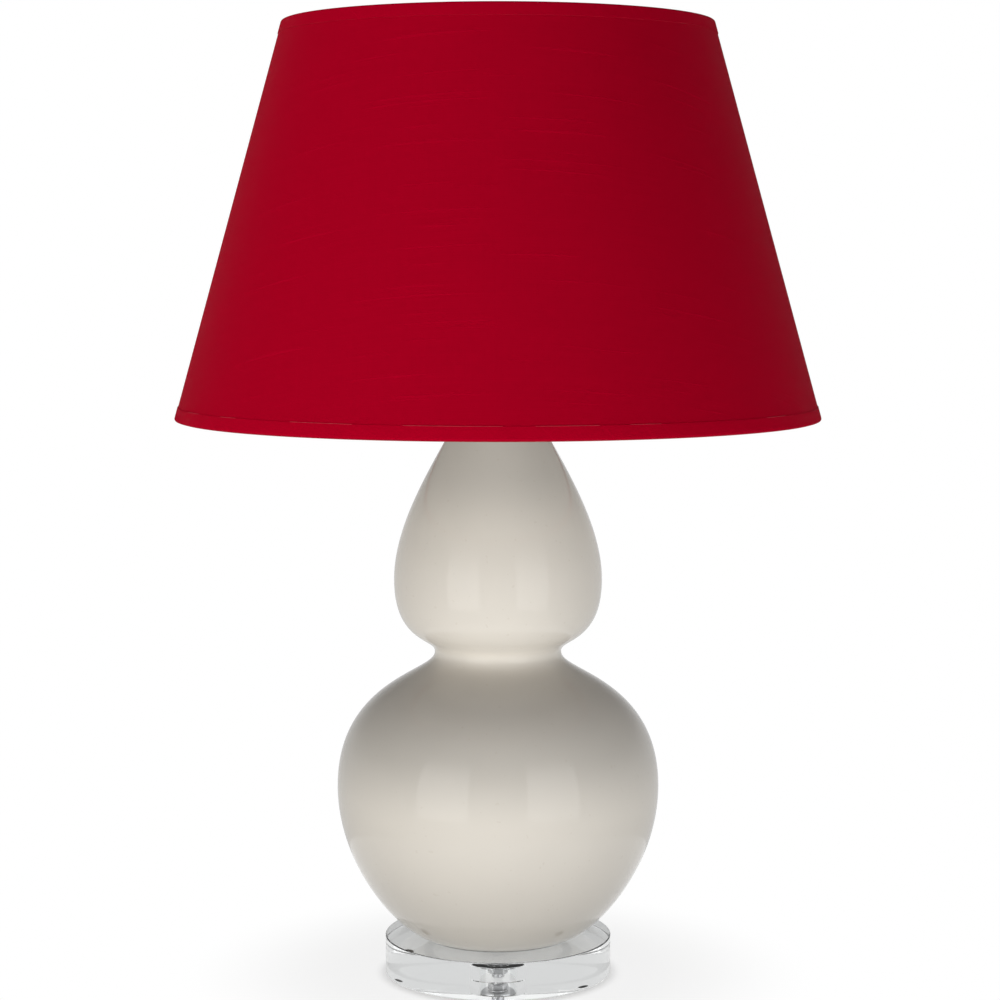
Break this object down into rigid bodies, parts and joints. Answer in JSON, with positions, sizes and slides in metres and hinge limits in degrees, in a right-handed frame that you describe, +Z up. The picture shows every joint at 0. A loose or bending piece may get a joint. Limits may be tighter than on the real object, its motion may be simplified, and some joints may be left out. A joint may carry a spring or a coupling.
{
  "type": "table lamp",
  "caption": "Table lamp with a glazed double gourd body on a clear disc base and a tapered red cloth shade carried by a harp.",
  "frame": {"origin": "on the tabletop, under the middle of the lamp", "axes": "+Z up along the lamp's axis; the harp lies in the XZ plane, the switch points along -Y and the cord inlet is at the back, along +Y"},
  "size_m": [0.5076, 0.5076, 0.7647],
  "materials": {
    "glaze": "high gloss ivory glaze",
    "acrylic": "polished clear acrylic",
    "bumper": "clear soft plastic",
    "gasket": "dark soft ring",
    "nickel": "polished nickel plate",
    "steel": "zinc plated steel",
    "brass": "plain brass",
    "socket_black": "moulded black plastic",
    "fibre": "insulating fibre",
    "bush": "moulded ivory plastic",
    "bulb_white": "soft white frosted glass",
    "bulb_glass_dark": "black insulating glass",
    "cap_metal": "plain aluminium",
    "cloth": "deep red plain-weave cotton",
    "liner": "white laminated styrene",
    "frame_wire": "white coated wire"
  },
  "bodies": {
    "base": {"foot_pads": "bumper", "base_disc": "acrylic", "foot_gasket": "gasket", "threaded_pipe": "steel", "base_washer": "steel", "base_lock_washer": "steel", "base_nut": "steel", "gourd_lower_bulb": "glaze", "gourd_upper_bulb": "glaze", "cord_bush": "bush", "vase_cap": "nickel", "neck_spacer": "nickel", "check_ring": "nickel", "harp_saddle": "nickel", "top_lock_washer": "steel", "top_nut": "steel", "socket_cap": "nickel", "cap_set_screw": "steel", "socket_shell": "nickel", "shell_liner": "fibre", "switch_block": "socket_black", "terminal_screws": "brass", "screw_shell": "brass", "centre_contact": "brass"},
    "switch": {"switch_shaft": "brass", "switch_knob": "socket_black"},
    "bulb": {"bulb_contact": "brass", "bulb_insulator": "bulb_glass_dark", "bulb_screw_cap": "cap_metal", "bulb_glass": "bulb_white", "bulb_stem": "bulb_white", "bulb_filament": "steel"},
    "harp": {"harp_wire": "nickel"},
    "sleeve_left": {"harp_sleeve_left": "nickel"},
    "sleeve_right": {"harp_sleeve_right": "nickel"},
    "stud": {"harp_stud": "nickel", "harp_saucer": "nickel"},
    "shade": {"shade_fabric": "cloth", "shade_liner": "liner", "bottom_ring": "frame_wire", "top_ring": "frame_wire", "bottom_trim": "cloth", "top_trim": "cloth", "seam_lap": "cloth", "spider_hub": "frame_wire", "spider_arms": "frame_wire"},
    "finial": {"finial": "nickel"}
  },
  "joints": [
    {"name": "switch_turn", "type": "hinge", "parent": "base", "child": "switch", "pos_m": [0, -0.02, 0.52815], "axis": [0, -1, 0], "continuous": true},
    {"name": "bulb_lift", "type": "slide", "parent": "base", "child": "bulb", "axis": [0, 0, 1], "range_m": [0, 0.027]},
    {"name": "harp_lift", "type": "slide", "parent": "base", "child": "harp", "axis": [0, 0, 1], "range_m": [0, 0.03]},
    {"name": "sleeve_left_lift", "type": "slide", "parent": "harp", "child": "sleeve_left", "axis": [0, 0, 1], "range_m": [0, 0.018]},
    {"name": "sleeve_right_lift", "type": "slide", "parent": "harp", "child": "sleeve_right", "axis": [0, 0, 1], "range_m": [0, 0.018]},
    {"name": "stud_turn", "type": "hinge", "parent": "harp", "child": "stud", "pos_m": [0, 0, 0.7372], "axis": [0, 0, 1], "continuous": true},
    {"name": "shade_lift", "type": "slide", "parent": "stud", "child": "shade", "axis": [0, 0, 1], "range_m": [0, 0.3]},
    {"name": "finial_turn", "type": "hinge", "parent": "shade", "child": "finial", "pos_m": [0, 0, 0.75], "axis": [0, 0, 1], "continuous": true}
  ]
}
